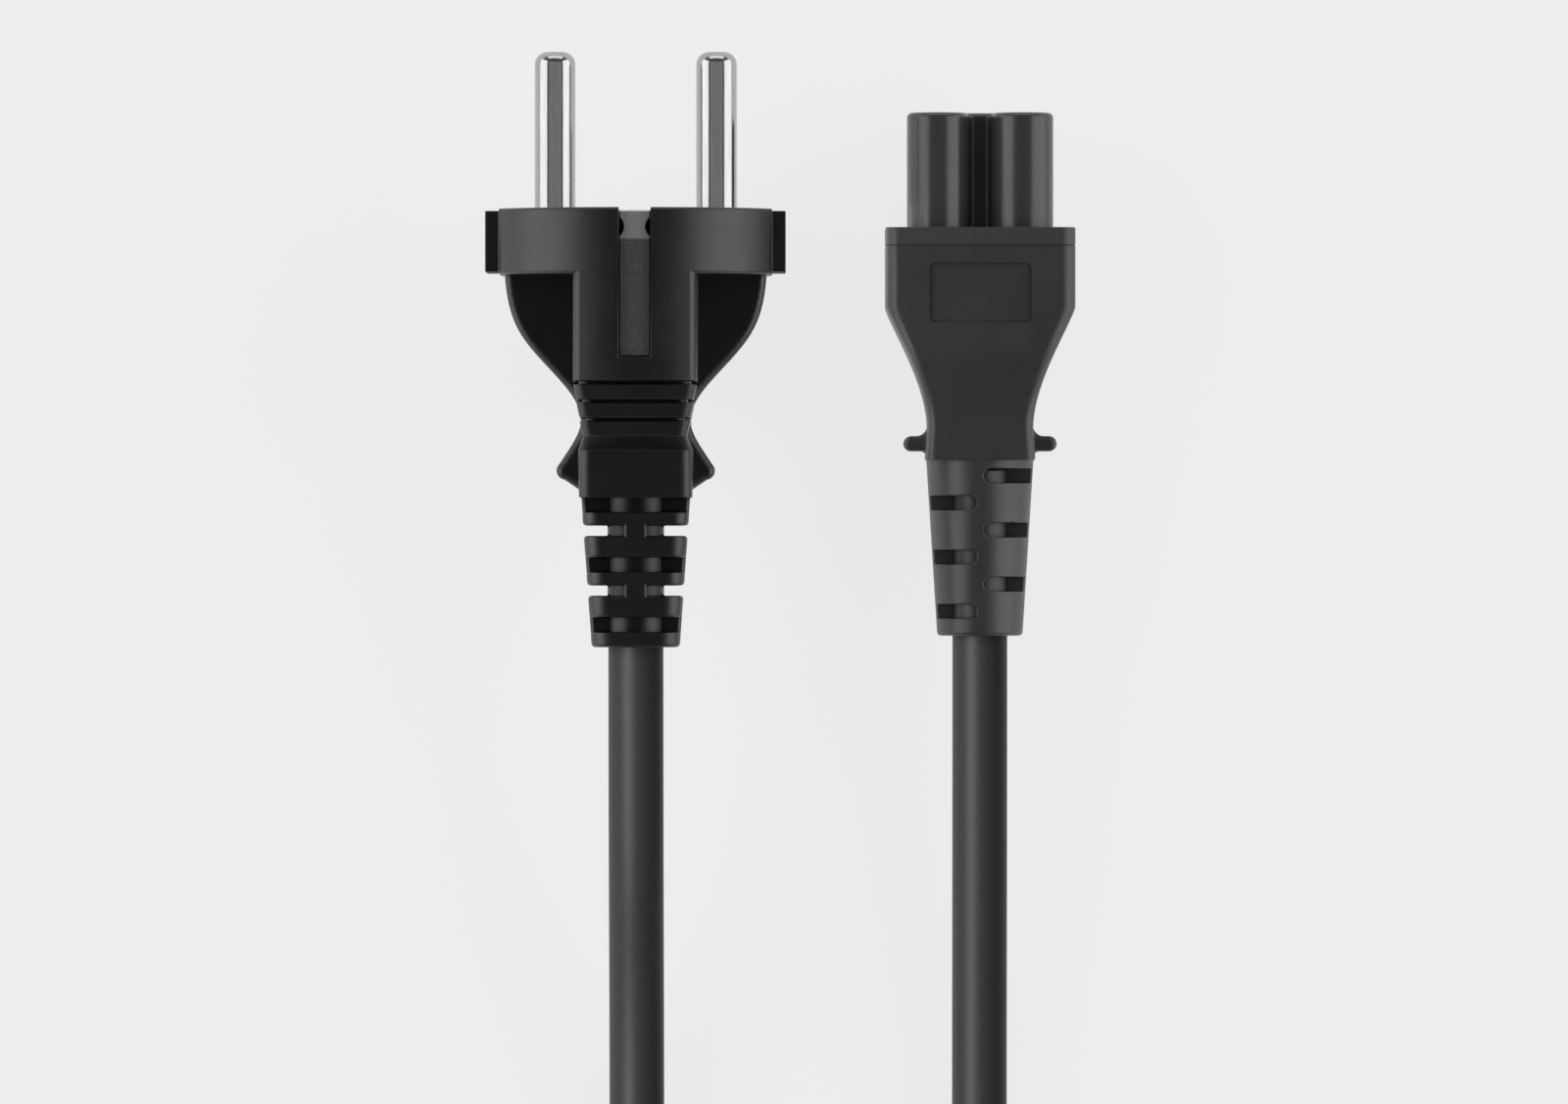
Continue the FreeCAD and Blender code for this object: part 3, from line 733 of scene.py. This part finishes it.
def plugShare(place):
    # The ribs of the plug's strain relief are rounder than its other edges, and their bore is crisper.
    if not plugBody["combEnd"] < place.y < plugBody["combFront"]:
        return plugBody["edge"] / plugBody["combEdge"]
    if math.hypot(place.x - plug["x"], place.z - plug["axisZ"]) < plugBody["bore"]:
        return plugBody["boreShare"]
    return 1


def addPlugBody(material):
    return softenedCopy(
        "plug_overmould", "plug_body", plugBody["combEdge"], material, plugShare
    )


plugStrips = {"edge": 0.08}


def addPlugStrips(material):
    return softenedCopy(
        "plug_earth_bracket", "plug_strips", plugStrips["edge"], material
    )


# Pins and sleeves

rod = {
    "sides": 96,
    "smoothAngle": 30.0,
    "levelReach": 0.001,
}


def selectLevel(piece, level, parts):
    # Selects the piece's faces or edges that lie wholly at this place along Y, in edit mode.
    shape = bmesh.from_edit_mesh(piece.data)
    for face in shape.faces:
        face.select_set(False)
    for edge in shape.edges:
        edge.select_set(False)
    for part in shape.faces if parts == "faces" else shape.edges:
        if all(abs(vert.co.y - level) < rod["levelReach"] for vert in part.verts):
            part.select_set(True)
    bmesh.update_edit_mesh(piece.data)


def drawBack(length):
    bpy.ops.mesh.extrude_region_move(TRANSFORM_OT_translate={"value": (0, -length, 0)})


def startRod(name, radius, back, front):
    # A rod along Y, modelled in millimetres and left in edit mode.
    bpy.ops.object.select_all(action="DESELECT")
    bpy.ops.mesh.primitive_cylinder_add(
        vertices=rod["sides"],
        radius=radius,
        depth=front - back,
        location=(0, (front + back) / 2, 0),
        rotation=(math.radians(-90), 0, 0),
    )
    piece = bpy.context.object
    piece.name = name
    bpy.ops.object.transform_apply(location=True, rotation=True, scale=True)
    bpy.ops.object.mode_set(mode="EDIT")
    return piece


def finishRod(piece, place, material):
    bpy.ops.mesh.select_all(action="SELECT")
    bpy.ops.mesh.normals_make_consistent(inside=False)
    bpy.ops.object.mode_set(mode="OBJECT")
    piece.data.transform(Matrix.Scale(mm, 4))
    piece.data.transform(Matrix.Translation(place))
    bpy.ops.object.shade_smooth_by_angle(angle=math.radians(rod["smoothAngle"]))
    piece.data.materials.append(material)
    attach(piece, "root")
    return piece


pin = {
    "spacing": 19.0,
    "radius": 2.4,
    "length": 18.6,
    "dome": 1.5,
    "domeSteps": 12,
    "faceRecess": 0.35,  # the shank starts this far behind the face
    "root": 9.0,
    "rootRadius": 2.1,
    "crimp": 4.0,
    "crimpRadius": 1.9,
}


def addPin(name, hand, material):
    # A rod with a domed tip. Its narrower root and its crimp are drawn out of its back.
    piece = startRod("plug_pin_" + name + "_turned", pin["radius"], -pin["faceRecess"], pin["length"])
    selectLevel(piece, pin["length"], "edges")
    bpy.ops.mesh.bevel(offset=pin["dome"], segments=pin["domeSteps"], affect="EDGES")
    selectLevel(piece, -pin["faceRecess"], "faces")
    bpy.ops.mesh.inset(thickness=pin["radius"] - pin["rootRadius"])
    drawBack(pin["root"] - pin["faceRecess"])
    bpy.ops.mesh.inset(thickness=pin["rootRadius"] - pin["crimpRadius"])
    drawBack(pin["crimp"])
    place = point(plug["x"] + hand * pin["spacing"] / 2, plug["faceY"], plug["axisZ"])
    finishRod(piece, place, material)
    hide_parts("plug_pin_" + name)
    return piece


sleeve = {
    "radius": 3.33,
    "bore": 3.1,
    "edge": 0.1,
    "length": 19.0,
    "inset": 0.6,  # from the end of the strain relief
}


def addSleeve(name, x, axisZ, endY, material):
    # The thin moulded tube round the cord that shows in the slots of a strain relief.
    piece = startRod(name, sleeve["radius"], 0, sleeve["length"])
    ends = (0, sleeve["length"])
    for level in ends:
        selectLevel(piece, level, "edges")
        bpy.ops.mesh.bevel(offset=sleeve["edge"], segments=1, affect="EDGES")
    for level in ends:
        selectLevel(piece, level, "faces")
        bpy.ops.mesh.inset(thickness=sleeve["radius"] - sleeve["edge"] - sleeve["bore"])
    shape = bmesh.from_edit_mesh(piece.data)
    for face in shape.faces:
        face.select_set(len(face.verts) > 4)  # the two round ends
    bmesh.update_edit_mesh(piece.data)
    bpy.ops.mesh.select_mode(type="FACE")
    bpy.ops.mesh.bridge_edge_loops()
    bpy.ops.mesh.select_mode(type="VERT")
    place = point(x, endY + sleeve["inset"], axisZ)
    return finishRod(piece, place, material)


# Pieces inside the mouldings, which keep their CAD shape

inside = {
    "contact_neutral": "contactBrass",
    "contact_line": "contactBrass",
    "contact_earth": "contactBrass",
    "connector_core_neutral": "blueCore",
    "connector_core_line": "brownCore",
    "connector_core_earth": "stripedCore",
    "plug_pin_carrier": "plugBlack",
    "plug_earth_sleeve": "contactBrass",
    "plug_core_neutral": "blueCore",
    "plug_core_line": "brownCore",
    "plug_core_earth": "stripedCore",
}


def paintInside(materials):
    for node, material in inside.items():
        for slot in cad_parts[node].material_slots:
            slot.material = materials[material]


def main():
    addCamera()
    floor = addFloor()
    addWorld()
    lamps = addSoftboxes()
    print("camera, floor and light")
    materials = makeMaterials()
    print("materials")
    cordPiece = addCord(materials["cordJacket"])
    print("cord")
    body = addConnectorBody(materials["connectorBlack"])
    nose = addConnectorNose(materials["insertBlack"])
    grip = addPlugBody(materials["plugBlack"])
    strips = addPlugStrips(materials["stripNickel"])
    print("mouldings and earth strips")
    pins = [addPin(name, hand, materials["pinNickel"]) for hand, name in ((-1, "line"), (1, "neutral"))]
    connectorSleeve = addSleeve(
        "connector_core_sleeve", 0, connector["axisZ"], connector["reliefEndY"], materials["connectorBlack"]
    )
    plugSleeve = addSleeve(
        "plug_core_sleeve", plug["x"], plug["axisZ"], plug["reliefEndY"], materials["plugBlack"]
    )
    print("pins and sleeves")
    paintInside(materials)
    plugInside = [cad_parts[node] for node in inside if node.startswith("plug_")]
    plugPieces = [grip, strips, plugSleeve] + pins + plugInside
    connectorPieces = [body, nose, connectorSleeve]
    print("inside pieces painted")
    lightOnly(lamps["cord"], "cordOnly", [cordPiece])
    lightOnly(lamps["pins"], "pinsOnly", pins)
    for name in ("nearLeft", "nearRight", "card"):
        lightOnly(lamps[name], name + "Only", connectorPieces, alone=True)
    for name in ("plugLeft", "plugRight"):
        lightOnly(lamps[name], name + "Only", plugPieces + [floor])
    bpy.context.scene.view_settings.view_transform = "Standard"
    print("light shared out")


main()
